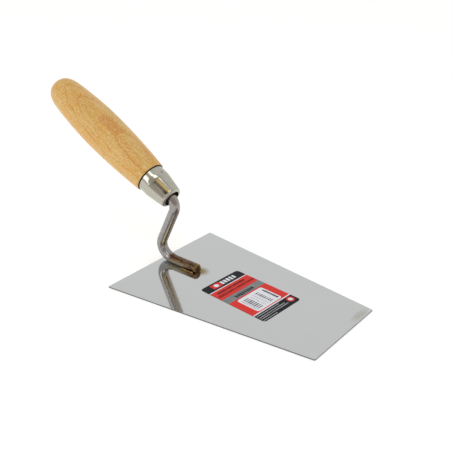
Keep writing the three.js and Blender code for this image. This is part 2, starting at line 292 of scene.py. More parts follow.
def new_material(name):
    """An empty material, with its tree and its Principled shader already linked."""
    material = bpy.data.materials.new(name)
    material.use_nodes = True
    tree = material.node_tree
    tree.nodes.clear()
    shader = add_node(tree, "ShaderNodeBsdfPrincipled")
    add_node(tree, "ShaderNodeOutputMaterial", {"Surface": shader.outputs[0]})
    return material, tree, shader


def object_millimetres(tree, place=(0, 0, 0), rotation=(0, 0, 0)):
    """Object coordinates in millimetres, seen from a frame at that place and turn."""
    coordinates = add_node(tree, "ShaderNodeTexCoord")
    return add_node(tree, "ShaderNodeMapping", {
        "Vector": coordinates.outputs["Object"], "Location": place, "Rotation": rotation,
        "Scale": (MM, MM, MM)}, vector_type="TEXTURE").outputs[0]


def stretched(tree, vector, per_mm):
    """Coordinates scaled so that a texture of scale 1 repeats that many times a millimetre."""
    return add_node(tree, "ShaderNodeVectorMath", {0: vector, 1: per_mm},
                    operation="MULTIPLY").outputs[0]


def mixed(tree, factor, a, b):
    """Colour a shading into colour b."""
    return add_node(tree, "ShaderNodeMix", {0: factor, 6: a, 7: b}, data_type="RGBA").outputs[2]


def remapped(tree, value, low, high, to_low=0.0, to_high=1.0):
    """A value carried smoothly from one range to another, and held at its ends."""
    return add_node(tree, "ShaderNodeMapRange", {
        "Value": value, "From Min": low, "From Max": high, "To Min": to_low, "To Max": to_high},
        interpolation_type="SMOOTHSTEP").outputs[0]


def arithmetic(tree, operation, a, b=0.0):
    """One step of arithmetic."""
    return add_node(tree, "ShaderNodeMath", {0: a, 1: b}, operation=operation).outputs[0]


def mottle(tree, place, per_mm, detail=4.0, roughness=0.55):
    """Cloudy noise, with that many features a millimetre along each axis."""
    return add_node(tree, "ShaderNodeTexNoise", {
        "Vector": stretched(tree, place, per_mm), "Scale": 1.0, "Detail": detail,
        "Roughness": roughness}).outputs["Fac"]


def spot(tree, place, centre, reach):
    """1 in the middle of an ellipsoid, fading to 0 at its surface."""
    offset = add_node(tree, "ShaderNodeVectorMath", {0: place, 1: centre},
                      operation="SUBTRACT").outputs[0]
    share = stretched(tree, offset, tuple(1 / r for r in reach))
    length = add_node(tree, "ShaderNodeVectorMath", {0: share}, operation="LENGTH").outputs["Value"]
    return remapped(tree, length, 1.0, 0.15)


def colour_ramp(tree, factor, stops):
    """A colour that runs through (position, sRGB hex) stops."""
    node = add_node(tree, "ShaderNodeValToRGB", {0: factor})
    elements = node.color_ramp.elements
    for element, (position, colour) in zip(elements, stops):
        element.position = position
        element.color = linear(colour)
    for position, colour in stops[len(elements):]:
        elements.new(position).color = linear(colour)
    return node.outputs[0]


def add_bump(tree, shader, height, strength, depth_mm):
    """Lets a height pattern tilt the surface."""
    bump = add_node(tree, "ShaderNodeBump", {
        "Height": height, "Strength": strength, "Distance": depth_mm * MM})
    tree.links.new(bump.outputs[0], shader.inputs["Normal"])


# ---------------------------------------------------------------- materials


def brushed_stainless(settings):
    """Brushed stainless sheet: a soft grey mirror, straw-coloured where the weld heated it."""
    material, tree, shader = new_material("brushed stainless sheet")
    place = object_millimetres(tree)
    # Brush lines run along the blade and are centimetres long. Real ones are too fine to
    # show, so they are drawn a third of a millimetre apart.
    lines = mottle(tree, place, (0.05, 3.0, 1.0))
    clouds = mottle(tree, place, (0.02, 0.03, 1.0), detail=2.0)
    steel = linear(settings.colour)
    darker = tuple(c * 0.965 for c in steel[:3]) + (1.0,)
    base = mixed(tree, remapped(tree, lines, 0.3, 0.7), steel, darker)
    base = mixed(tree, remapped(tree, clouds, 0.4, 0.7, 0.0, 0.5), base, darker)
    patchy = mottle(tree, place, (0.6, 0.9, 1.0), detail=3.0)
    # Heat tint in front of the foot, which goes through the sheet, and thin brown water
    # marks near one front corner, which lie on the upper face only.
    tint = spot(tree, place, (-49.5, 2.4, 1.0), (10.5, 9.0, 4.0))
    tint = arithmetic(tree, "MULTIPLY", tint, remapped(tree, patchy, 0.25, 0.6, 0.75, 1.0))
    base = mixed(tree, tint, base, linear("#86703c"))
    mark = spot(tree, place, (86.0, 27.0, 1.0), (5.0, 15.0, 0.9))
    mark = arithmetic(tree, "MULTIPLY", mark, remapped(tree, patchy, 0.35, 0.65, 0.15, 0.6))
    base = mixed(tree, mark, base, linear("#9a9178"))
    shader.inputs["Metallic"].default_value = 1.0
    tree.links.new(base, shader.inputs["Base Color"])
    rough = remapped(tree, lines, 0.3, 0.7, 0.06, 0.1)
    rough = arithmetic(tree, "ADD", rough, arithmetic(tree, "MULTIPLY", tint, 0.15))
    tree.links.new(rough, shader.inputs["Roughness"])
    add_bump(tree, shader, lines, 0.03, 0.03)
    return material


def sheared_edge():
    """Sheared stainless edge: a dull, darker line that was never polished."""
    material, tree, shader = new_material("sheared stainless edge")
    shader.inputs["Metallic"].default_value = 1.0
    marks = mottle(tree, object_millimetres(tree), (1.5, 1.5, 0.2))
    tree.links.new(mixed(tree, marks, linear("#6d6d6c"), linear("#888886")),
                   shader.inputs["Base Color"])
    tree.links.new(remapped(tree, marks, 0.3, 0.7, 0.35, 0.5), shader.inputs["Roughness"])
    return material


def drawn_bar(settings, hot_from, hot_below):
    """Drawn steel bar: grey with a painted brown reflection on the riser, burnt brown, violet and gold at
    the foot, and a painted highlight on the foot's end face.
    """
    material, tree, shader = new_material("drawn steel bar")
    place = object_millimetres(tree)
    broad = mottle(tree, place, (0.12, 0.2, 0.06))
    fine = mottle(tree, place, (1.2, 1.2, 0.5))
    steel = mixed(tree, remapped(tree, fine, 0.3, 0.7), linear(settings.colour), linear("#8c8886"))
    # A painted brown reflection lies on the front side of the riser, above the heel and fainter towards the
    # elbow.
    axes = add_node(tree, "ShaderNodeSeparateXYZ", {
        0: add_node(tree, "ShaderNodeNewGeometry").outputs["Normal"]})
    front = remapped(tree, axes.outputs["X"], 0.1, 0.7)
    where = add_node(tree, "ShaderNodeSeparateXYZ", {0: place})
    front = arithmetic(tree, "MULTIPLY", front, remapped(tree, where.outputs["Z"], 10.0, 18.0))
    front = arithmetic(tree, "MULTIPLY", front,
                       remapped(tree, where.outputs["Z"], 30.0, 50.0, 1.0, 0.3))
    # Painted brown reflection, broken into patches.
    film = arithmetic(tree, "MULTIPLY", front, remapped(tree, broad, 0.3, 0.6, 0.45, 0.95))
    steel = mixed(tree, film, steel, colour_ramp(tree, fine, (
        (0.3, "#8a7a6c"), (0.5, "#ab9a83"), (0.7, "#c3b28e"))))
    # The heat tint begins sharply where the bend ends.
    patchy = mottle(tree, place, (0.3, 0.75, 0.75), detail=6.0, roughness=0.7)
    shifted = arithmetic(tree, "ADD", where.outputs["X"],
                         remapped(tree, patchy, 0.3, 0.7, -1.5, 1.5))
    hot = remapped(tree, shifted, hot_from, hot_from + 2.2)
    low = remapped(tree, where.outputs["Z"], hot_below, hot_below - 1.5)
    hot = arithmetic(tree, "MULTIPLY", hot, low)
    burnt = colour_ramp(tree, patchy, (
        (0.3, "#34261e"), (0.42, "#634636"), (0.49, "#54403a"), (0.56, "#76583f"),
        (0.63, "#9d8450"), (0.72, "#8d857c")))
    # The rear half of the lower flanks stays a straw-coloured grey.
    flank = arithmetic(tree, "MULTIPLY", remapped(tree, where.outputs["Z"], 6.4, 4.4, 0.0, 0.85),
                       remapped(tree, where.outputs["X"], -54.0, -66.0))
    burnt = mixed(tree, flank, burnt, linear("#a29a84"))
    # The end face gets a painted gold highlight round its rusty middle, along the rounded edge.
    off_axis = add_node(tree, "ShaderNodeVectorMath", {
        0: stretched(tree, place, (0.0, 1.0, 1.0)), 1: (0.0, 0.0, 4.3)}, operation="DISTANCE")
    end_face_highlight = arithmetic(tree, "MULTIPLY", remapped(tree, off_axis.outputs["Value"], 1.9, 2.8),
                      remapped(tree, where.outputs["X"], -51.6, -50.4))
    burnt = mixed(tree, arithmetic(tree, "MULTIPLY", end_face_highlight, remapped(tree, patchy, 0.4, 0.6, 0.2, 0.9)),
                  burnt, linear("#a98f57"))
    tree.links.new(mixed(tree, hot, steel, burnt), shader.inputs["Base Color"])
    shader.inputs["Metallic"].default_value = 1.0
    rough = remapped(tree, fine, 0.3, 0.7, 0.2, 0.3)
    tree.links.new(arithmetic(tree, "ADD", rough, arithmetic(tree, "MULTIPLY", hot, 0.12)),
                   shader.inputs["Roughness"])
    ripples = arithmetic(tree, "ADD", arithmetic(tree, "MULTIPLY", fine, 0.15),
                         arithmetic(tree, "MULTIPLY", hot, patchy))
    add_bump(tree, shader, ripples, 0.25, 0.12)
    return material


def weld_metal():
    """Weld metal left as welded: brown scale in the hollows, gold on the ripples' crests."""
    material, tree, shader = new_material("weld metal")
    place = object_millimetres(tree)
    spots = mottle(tree, place, (0.7, 0.9, 0.9))
    raised = add_node(tree, "ShaderNodeNewGeometry").outputs["Pointiness"]
    crest = remapped(tree, raised, 0.5, 0.54)
    base = colour_ramp(tree, spots, ((0.35, "#4a3728"), (0.5, "#7a5e3b"), (0.65, "#a0854f")))
    tree.links.new(mixed(tree, arithmetic(tree, "MULTIPLY", crest, 0.6), base, linear("#bda369")),
                   shader.inputs["Base Color"])
    shader.inputs["Metallic"].default_value = 1.0
    tree.links.new(remapped(tree, spots, 0.3, 0.7, 0.25, 0.42), shader.inputs["Roughness"])
    return material


def bright_plating(settings, pocket_place, pocket_rotation, pocket_middle, stake):
    """Nickel-bright plating on pressed steel: mirror-like and scuffed, with painted reflection and shade in
    the pockets.
    """
    material, tree, shader = new_material("bright plated steel")
    place = object_millimetres(tree)
    peel = mottle(tree, place, (0.35, 0.35, 0.35), detail=2.0)
    scuffs = mottle(tree, place, (2.2, 2.2, 2.2), detail=5.0, roughness=0.7)
    base = mixed(tree, remapped(tree, scuffs, 0.35, 0.7), linear(settings.colour),
                 linear("#a9a698"))
    # The pockets lie on both sides of this frame's XY plane, far from its Z = 0.
    axes = add_node(tree, "ShaderNodeSeparateXYZ", {
        0: object_millimetres(tree, pocket_place, pocket_rotation)})
    side = arithmetic(tree, "SIGN", axes.outputs["Z"])
    across = arithmetic(tree, "MULTIPLY", axes.outputs["X"], side)
    station = arithmetic(tree, "SUBTRACT", axes.outputs["Y"], pocket_middle)
    height = arithmetic(tree, "ABSOLUTE", axes.outputs["Z"])
    inside = arithmetic(tree, "MULTIPLY",
                        arithmetic(tree, "MULTIPLY", remapped(tree, across, 3.3, 2.7),
                                   remapped(tree, across, -4.2, -0.6)),
                        remapped(tree, arithmetic(tree, "ABSOLUTE", station), 7.7, 6.7))
    inside = arithmetic(tree, "MULTIPLY", inside, remapped(tree, height, 6.0, 8.0))
    # Inside the pockets the plating is painted a dull brown-grey as a painted darker reflection, with
    # painted shade at the end by the neck and a painted warm reflection along one long wall.
    floor = mixed(tree, remapped(tree, scuffs, 0.35, 0.65), linear("#54493d"), linear("#8d8271"))
    floor = mixed(tree, remapped(tree, station, -2.0, -6.0), floor, linear("#33271c"))
    floor = mixed(tree, remapped(tree, across, 0.2, 1.9), floor, linear("#dcc07c"))
    base = mixed(tree, arithmetic(tree, "MULTIPLY", inside, 0.92), base, floor)
    # The punched mark is painted a darker grey-brown.
    base = mixed(tree, spot(tree, place, stake, (1.2, 1.2, 1.2)), base, linear("#5d564b"))
    tree.links.new(base, shader.inputs["Base Color"])
    shader.inputs["Metallic"].default_value = 1.0
    rough = remapped(tree, scuffs, 0.35, 0.7, 0.15, 0.24)
    tree.links.new(arithmetic(tree, "ADD", rough, arithmetic(tree, "MULTIPLY", inside, 0.2)),
                   shader.inputs["Roughness"])
    add_bump(tree, shader, arithmetic(tree, "ADD", peel, arithmetic(tree, "MULTIPLY", scuffs, 0.05)),
             0.08, 0.35)
    return material


def lacquered_hardwood(settings, place, rotation, shoulder_mm):
    """Turned pale hardwood in satin lacquer: arched growth rings, fibres and short flecks."""
    material, tree, shader = new_material("lacquered hardwood")
    local = object_millimetres(tree, place, rotation)
    axes = add_node(tree, "ShaderNodeSeparateXYZ", {0: local})
    wander = mottle(tree, local, (0.05, 0.012, 0.05), detail=3.0)
    # Rings are round the tree's pith, which lies below the handle and slopes across it, so
    # they come out of the turned surface as long arches.
    depth = arithmetic(tree, "ADD", axes.outputs["Z"],
                       arithmetic(tree, "MULTIPLY", axes.outputs["Y"], -settings.grain_slope))
    depth = arithmetic(tree, "ADD", depth, settings.pith_depth / MM)
    squares = arithmetic(tree, "ADD", arithmetic(tree, "POWER", depth, 2.0),
                         arithmetic(tree, "POWER", axes.outputs["X"], 2.0))
    distance = arithmetic(tree, "ADD", arithmetic(tree, "SQRT", squares),
                          remapped(tree, wander, 0.2, 0.8, -2.2, 2.2))
    turn = arithmetic(tree, "FRACT", arithmetic(tree, "DIVIDE", distance,
                                                settings.ring_width / MM))
    latewood = arithmetic(tree, "MULTIPLY", remapped(tree, turn, 0.76, 0.95),
                          remapped(tree, turn, 1.0, 0.95))
    clouds = mottle(tree, local, (0.09, 0.03, 0.09), detail=3.0)
    fibre = mottle(tree, local, (0.9, 0.03, 0.9), detail=5.0, roughness=0.7)
    flecks = mottle(tree, local, (1.7, 0.6, 1.7), detail=3.0, roughness=0.75)
    wood = linear(settings.colour)
    base = mixed(tree, remapped(tree, clouds, 0.35, 0.65), wood, linear("#dba84a"))
    base = mixed(tree, remapped(tree, fibre, 0.5, 0.66, 0.0, 0.7), base, linear("#e4c78c"))
    base = mixed(tree, remapped(tree, fibre, 0.5, 0.36, 0.0, 0.6), base, linear("#c89546"))
    strength = remapped(tree, clouds, 0.3, 0.6, 0.35, 0.75)
    base = mixed(tree, arithmetic(tree, "MULTIPLY", latewood, strength), base, linear("#cb7a22"))
    base = mixed(tree, remapped(tree, flecks, 0.5, 0.62, 0.0, 0.6), base, linear("#c98733"))
    base = mixed(tree, remapped(tree, flecks, 0.48, 0.38, 0.0, 0.6), base, linear("#efd9a4"))
    # Glue and shadow darken the cut face at the ferrule.
    base = mixed(tree, remapped(tree, axes.outputs["Y"], shoulder_mm + 0.3, shoulder_mm + 0.1),
                 base, linear("#3d2a1a"))
    tree.links.new(base, shader.inputs["Base Color"])
    tree.links.new(remapped(tree, fibre, 0.3, 0.7, 0.42, 0.55), shader.inputs["Roughness"])
    shader.inputs["Specular IOR Level"].default_value = 0.35
    shader.inputs["Coat Weight"].default_value = 0.28
    shader.inputs["Coat Roughness"].default_value = 0.25
    add_bump(tree, shader, fibre, 0.15, 0.08)
    return material


def printed_film(name, hex_colour, worn_colour):
    """Ink on low-sheen polypropylene film: even colour, slightly blotched by the print."""
    material, tree, shader = new_material(name)
    place = object_millimetres(tree)
    blotches = mottle(tree, place, (0.15, 0.15, 1.0), detail=5.0, roughness=0.7)
    tree.links.new(mixed(tree, remapped(tree, blotches, 0.35, 0.7), linear(hex_colour),
                         linear(worn_colour)), shader.inputs["Base Color"])
    tree.links.new(remapped(tree, blotches, 0.3, 0.7, 0.3, 0.4), shader.inputs["Roughness"])
    shader.inputs["Specular IOR Level"].default_value = 0.08
    return material


# ---------------------------------------------------------------- meshes


def new_piece(name, mesh, materials, replaced=()):
    """Links a finished mesh as a piece of the object."""
    piece = bpy.data.objects.new(name, mesh)
    bpy.context.scene.collection.objects.link(piece)
    for material in materials:
        mesh.materials.append(material)
    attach(piece, BODY)
    if replaced:
        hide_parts(*replaced)
    return piece


def smooth_by_angle(mesh, degrees):
    """Smooth shading, with edges sharper than the angle kept sharp."""
    mesh.shade_smooth()
    mesh.set_sharp_from_angle(angle=math.radians(degrees))


def rounded_corners(corners, radius, steps=5):
    """Corner points of a closed outline replaced by short round stretches."""
    outline = []
    for index, corner in enumerate(corners):
        before = (corners[index - 1] - corner).normalized() * radius + corner
        after = (corners[(index + 1) % len(corners)] - corner).normalized() * radius + corner
        for step in range(steps + 1):
            t = step / steps
            outline.append(before * (1 - t) ** 2 + corner * 2 * t * (1 - t) + after * t ** 2)
    return outline


def rectangle(centre, length, width):
    """The four corners of a rectangle, anticlockwise."""
    signs = ((-1, -1), (1, -1), (1, 1), (-1, 1))
    return [Vector((centre[0] + x * length / 2, centre[1] + y * width / 2)) for x, y in signs]


def add_prism(build, outline, low, high, transform=Matrix()):
    """Adds a closed prism over a flat outline to a bmesh."""
    bottom = [build.verts.new(transform @ Vector((p.x, p.y, low))) for p in outline]
    top = [build.verts.new(transform @ Vector((p.x, p.y, high))) for p in outline]
    build.faces.new(reversed(bottom))
    build.faces.new(top)
    for i, a in enumerate(bottom):
        j = (i + 1) % len(bottom)
        build.faces.new((a, bottom[j], top[j], top[i]))


def to_mesh(build, name):
    """Turns a bmesh into a mesh."""
    mesh = bpy.data.meshes.new(name)
    build.to_mesh(mesh)
    build.free()
    return mesh


def evaluated_copy(holder, name):
    """The plain mesh that an object's modifiers give. The object itself is deleted."""
    graph = bpy.context.evaluated_depsgraph_get()
    mesh = bpy.data.meshes.new_from_object(holder.evaluated_get(graph), depsgraph=graph)
    mesh.name = name
    bpy.data.objects.remove(holder)
    return mesh


def handle_frame(context):
    """Turn and place of the handle's own frame: local +Y runs from the elbow to the butt."""
    rake = context.scene.trowel_handle.rake
    turn = Matrix.Rotation(rake, 4, "Y") @ Matrix.Rotation(math.pi / 2, 4, "Z")
    return Matrix.Translation(elbow_corner(context)) @ turn


def heel_corner(context):
    """Where the centre lines of the foot and the riser would meet."""
    neck = context.scene.trowel_neck
    return Vector((BLADE_LOW.x - neck.heel_overhang, 0, BLADE_HIGH.z + neck.bar_diameter / 2))


def elbow_corner(context):
    """Where the centre lines of the riser and the handle would meet."""
    neck = context.scene.trowel_neck
    return heel_corner(context) + Vector((neck.rise / math.tan(neck.riser_angle), 0, neck.rise))


# ---------------------------------------------------------------- operators


class TROWEL_OT_blade(bpy.types.Operator):
    """Make the stainless blade"""

    bl_idname = "trowel.blade"
    bl_label = "Blade"

    def execute(self, context):
        settings = context.scene.trowel_blade
        rear, front = BLADE_LOW.x, BLADE_HIGH.x
        corners = [
            Vector((rear, -settings.rear_width / 2)), Vector((front, -settings.front_width / 2)),
            Vector((front, settings.front_width / 2)), Vector((rear, settings.rear_width / 2))]
        outline = rounded_corners(corners, settings.corner_radius)
        build = bmesh.new()
        add_prism(build, outline, BLADE_LOW.z, BLADE_HIGH.z)
        rims = [e for e in build.edges if abs(e.verts[0].co.z - e.verts[1].co.z) < 0.1 * MM]
        bmesh.ops.bevel(build, geom=rims, offset=settings.edge_break, segments=2, affect="EDGES")
        for face in build.faces:
            face.material_index = 0 if abs(face.normal.z) > 0.9 else 1
        mesh = to_mesh(build, "blade_sheet")
        smooth_by_angle(mesh, 30)
        new_piece("blade_sheet", mesh, [brushed_stainless(settings), sheared_edge()],
                  ["blade"])
        return {"FINISHED"}


def bend(corner, way_in, way_out, radius):
    """Points of the arc that rounds a corner between two straight directions."""
    turn = way_in.angle(way_out)
    inside = (way_out - way_in).normalized()
    centre = corner + inside * (radius / math.cos(turn / 2))
    start = corner - way_in * (radius * math.tan(turn / 2)) - centre
    axis = way_in.cross(way_out).normalized()
    steps = 40
    return [centre + Matrix.Rotation(turn * i / steps, 3, axis) @ start for i in range(steps + 1)]


def bar_centre_line(context):
    """Points along the bar, each with its radius as a share of the bar's own."""
    neck = context.scene.trowel_neck
    handle = handle_frame(context)
    foot_end = Vector((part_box("tang")[1].x, 0, heel_corner(context).z))
    rearwards = Vector((-1, 0, 0))
    up_riser = Vector((math.cos(neck.riser_angle), 0, math.sin(neck.riser_angle)))
    to_butt = handle.to_3x3() @ Vector((0, 1, 0))
    heel_bend = bend(heel_corner(context), rearwards, up_riser, neck.heel_radius)
    elbow_bend = bend(elbow_corner(context), up_riser, to_butt, neck.elbow_radius)
    spike_start = elbow_corner(context) + to_butt * SPIKE_START * MM
    spike_tip = elbow_corner(context) + to_butt * SPIKE_TIP * MM
    radius = neck.bar_diameter / 2
    rounding = 1.2 * MM
    points = []
    # The foot's front end is rounded, and its straight part has a point every millimetre.
    for step in range(7):
        angle = math.pi / 2 * step / 6
        inset = rounding * (1 - math.sin(angle))
        points.append((foot_end + rearwards * (rounding - rounding * math.cos(angle)),
                       1 - inset / radius))
    points += [(foot_end + rearwards * d * MM, 1) for d in range(2, 27)]
    points += [(p, 1) for p in heel_bend]
    points += [(heel_bend[-1].lerp(elbow_bend[0], i / 12), 1) for i in range(1, 12)]
    points += [(p, 1) for p in elbow_bend]
    points += [(spike_start.lerp(spike_tip, i / 8), 1 - SPIKE_TAPER * i / 8) for i in range(9)]
    return points, heel_bend[0].x


def bar_sweep_tree():
    """Geometry Nodes that sweep a round section along a centre line."""
    tree = bpy.data.node_groups.new("bar sweep", "GeometryNodeTree")
    add = tree.interface.new_socket
    add("Centre line", in_out="INPUT", socket_type="NodeSocketGeometry")
    radius = add("Bar radius", in_out="INPUT", socket_type="NodeSocketFloat")
    sides = add("Sides", in_out="INPUT", socket_type="NodeSocketInt")
    steel = add("Steel", in_out="INPUT", socket_type="NodeSocketMaterial")
    add("Bar", in_out="OUTPUT", socket_type="NodeSocketGeometry")
    given = add_node(tree, "NodeGroupInput")
    section = add_node(tree, "GeometryNodeCurvePrimitiveCircle", {
        "Resolution": given.outputs["Sides"], "Radius": given.outputs["Bar radius"]})
    share = add_node(tree, "GeometryNodeInputRadius")
    swept = add_node(tree, "GeometryNodeCurveToMesh", {
        "Curve": given.outputs["Centre line"], "Profile Curve": section.outputs[0],
        "Scale": share.outputs[0], "Fill Caps": True})
    real = add_node(tree, "GeometryNodeRealizeInstances", {"Geometry": swept.outputs[0]})
    done = add_node(tree, "GeometryNodeSetMaterial", {
        "Geometry": real.outputs[0], "Material": given.outputs["Steel"]})
    add_node(tree, "NodeGroupOutput", {"Bar": done.outputs[0]})
    return tree, radius.identifier, sides.identifier, steel.identifier


def press_foot(mesh, neck, bend_x):
    """Presses the foot lower and wider, with a narrow flat seat against the blade."""
    seat = 0.3 * MM
    run_out = 8 * MM
    top = BLADE_HIGH.z + neck.bar_diameter + MM
    for vertex in mesh.vertices:
        if vertex.co.z > top or vertex.co.x < bend_x - run_out:
            continue
        t = min(max((vertex.co.x - bend_x + run_out / 2) / run_out, 0), 1)
        amount = t * t * (3 - 2 * t)
        vertex.co.y *= 1 + (neck.foot_width / neck.bar_diameter - 1) * amount
        lower = 1 + ((neck.foot_height + seat) / neck.bar_diameter - 1) * amount
        height = (vertex.co.z - BLADE_HIGH.z) * lower - seat * amount
        vertex.co.z = BLADE_HIGH.z + max(height, 0)


class TROWEL_OT_neck(bpy.types.Operator):
    """Make the bent bar from its welded foot to the spike in the handle"""

    bl_idname = "trowel.neck"
    bl_label = "Neck"

    def execute(self, context):
        neck = context.scene.trowel_neck
        points, bend_x = bar_centre_line(context)
        curve = bpy.data.curves.new("bar_line", "CURVE")
        curve.dimensions = "3D"
        spline = curve.splines.new("POLY")
        spline.points.add(len(points) - 1)
        for point, (place, share) in zip(spline.points, points):
            point.co = (*place, 1)
            point.radius = share
        holder = bpy.data.objects.new("bar_line", curve)
        context.scene.collection.objects.link(holder)
        tree, radius, sides, steel = bar_sweep_tree()
        sweep = holder.modifiers.new("sweep", "NODES")
        sweep.node_group = tree
        sweep[radius] = neck.bar_diameter / 2
        sweep[sides] = 64
        sweep[steel] = drawn_bar(neck, bend_x / MM - 0.4, 12.0)
        mesh = evaluated_copy(holder, "neck_bar")
        press_foot(mesh, neck, bend_x)
        smooth_by_angle(mesh, 50)
        new_piece("neck_bar", mesh, [], ["tang"])
        return {"FINISHED"}


def turned_mesh(rings, sides, press=None):
    """A closed turned mesh from (radius, station) rings; a radius of 0 is a pole."""
    build = bmesh.new()
    loops = []
    for radius, station in rings:
        if radius == 0:
            loops.append([build.verts.new((0, station, 0))])
            continue
        loop = []
        for i in range(sides):
            angle = 2 * math.pi * i / sides
            r = radius if press is None else press(radius, station, angle)
            loop.append(build.verts.new((-r * math.sin(angle), station, r * math.cos(angle))))
        loops.append(loop)
    if len(loops[0]) > 1:
        loops.append(loops[0])
    for low, high in zip(loops, loops[1:]):
        for i in range(sides):
            j = (i + 1) % sides
            corners = [low[i % len(low)], low[j % len(low)], high[j % len(high)], high[i % len(high)]]
            build.faces.new(list(dict.fromkeys(corners)))
    bmesh.ops.recalc_face_normals(build, faces=build.faces)
    return build


class TROWEL_OT_handle(bpy.types.Operator):
    """Make the turned wood handle with its spigot"""

    bl_idname = "trowel.handle"
    bl_label = "Handle"

    def execute(self, context):
        settings = context.scene.trowel_handle
        local = handle_frame(context)
        ferrule = context.scene.trowel_ferrule
        shoulder = settings.butt_station - settings.length
        clearance = ferrule.wall + FIT_GAP * MM

        def press(radius, station, angle):
            if station > shoulder or radius < 6 * MM:
                return radius
            return pressed(ferrule, radius, station, angle, clearance)

        build = turned_mesh(self.outline(settings, ferrule, clearance), 192, press)
        build.transform(local)
        mesh = to_mesh(build, "wood_handle")
        smooth_by_angle(mesh, 40)
        grain = local @ Matrix.Rotation(-settings.grain_turn, 4, "Y")
        wood = lacquered_hardwood(settings, grain.translation, grain.to_euler("XYZ"),
                                  shoulder / MM)
        new_piece("wood_handle", mesh, [wood], ["handle"])
        return {"FINISHED"}

    def outline(self, settings, ferrule, clearance):
        """Rings from the bore's end, over the spigot and the swell, to the butt's pole."""
        shoulder = settings.butt_station - settings.length
        dome = settings.butt_station - DOME_BACK * MM
        swell = settings.butt_station - SWELL_BACK * MM
        chamfer = SHOULDER_CHAMFER * MM
        reach = DOME_REACH * DOME_BACK * MM
        spigot = ferrule.radius - clearance
        spigot_end = SPIGOT_END * MM
        cone = ferrule.cone_station
        end_radius = spigot - cone_slope(ferrule) * (cone - spigot_end)
        rings = [(0, BORE_END * MM), (BORE_END_RADIUS * MM, BORE_END * MM),
                 (BORE_RADIUS * MM, BORE_MOUTH * MM), (BORE_RADIUS * MM, spigot_end)]
        rings += [(end_radius + (spigot - end_radius) * i / 30,
                   spigot_end + (cone - spigot_end) * i / 30) for i in range(31)]
        rings += [(spigot, cone + (shoulder - cone) * i / 20) for i in range(1, 21)]
        rings.append((settings.shoulder_radius - chamfer, shoulder))
        stretches = [
            ((settings.shoulder_radius, shoulder + chamfer), SHOULDER_SLOPE,
             (settings.swell_radius, swell), 0),
            ((settings.swell_radius, swell), 0, (settings.dome_radius, dome), DOME_SLOPE)]
        for start, slope_in, end, slope_out in stretches:
            third = (end[1] - start[1]) / 3
            a = (start[0] + slope_in * third, start[1] + third)
            b = (end[0] - slope_out * third, end[1] - third)
            rings += bezier(start, a, b, end, 48)[:-1]
        start = (settings.dome_radius, dome)
        pole = (0, settings.butt_station)
        rings += bezier(start, (settings.dome_radius + DOME_SLOPE * reach, dome + reach),
                        (DOME_FLATNESS * settings.dome_radius, settings.butt_station), pole, 40)
        return rings


def bezier(a, b, c, d, steps):
    """Points of a cubic curve in a plane, both ends among them."""
    points = []
    for i in range(steps + 1):
        t = i / steps
        weights = ((1 - t) ** 3, 3 * t * (1 - t) ** 2, 3 * t * t * (1 - t), t ** 3)
        points.append(tuple(sum(w * p[k] for w, p in zip(weights, (a, b, c, d))) for k in (0, 1)))
    points[-1] = d
    return points


def pressed(ferrule, radius, station, angle, below=0.0):
    """Radius of a turned surface after the two pockets and the stake mark are pressed in.

    The surface lies that far below the ferrule's outside.
    """
    slope = cone_slope(ferrule)
    middle_radius = ferrule.radius - slope * (ferrule.cone_station - ferrule.crimp_station)
    # The floor is a little deeper towards the neck.
    floor = (middle_radius + (slope + FLOOR_DIP) * (station - ferrule.crimp_station)
             - ferrule.crimp_depth - below)
    corner = POCKET_CORNER * MM
    for middle in (ferrule.crimp_angle, ferrule.crimp_angle + math.pi):
        turn = angle - middle
        if math.cos(turn) < 0.5:
            continue
        aside = radius * math.sin(turn)
        across = abs(aside) - ferrule.crimp_width / 2 - below + corner
        along = abs(station - ferrule.crimp_station) - ferrule.crimp_length / 2 - below + corner
        outside = math.hypot(max(across, 0), max(along, 0)) + min(max(across, along), 0) - corner
        # The metal sinks a little all round a pocket before it drops to the floor.
        radius -= ferrule.crimp_sink * smoothly(1 - outside / (SINK_REACH * MM))
        share = smoothly(0.5 - outside / ((STEEP_WALL if aside < 0 else GENTLE_WALL) * MM))
        bottom = floor + FLOOR_TILT * max(min(aside, 3 * MM), -3 * MM)
        radius += min(bottom / math.cos(turn) - radius, 0) * share
    if below == 0.0:
        turn = math.remainder(angle - ferrule.stake_angle, 2 * math.pi)
        away = math.hypot(turn * radius, station - ferrule.stake_station)
        radius -= STAKE_DEPTH * MM * smoothly(1.5 - away / (STAKE_RADIUS * MM))
    return radius


def cone_slope(ferrule):
    """Change of the ferrule's radius for each unit of length along its cone."""
    nose = ferrule.mouth_station + ferrule.nose_round
    return (ferrule.radius - ferrule.nose_radius) / (ferrule.cone_station - nose)


def quarter_round(radius, station, rounding, steps):
    """Rings of a rounded nose, from its full radius in to its flat end."""
    rings = []
    for i in range(steps + 1):
        angle = math.pi / 2 * i / steps
        rings.append((radius - rounding * (1 - math.cos(angle)),
                      station - rounding * math.sin(angle)))
    return rings


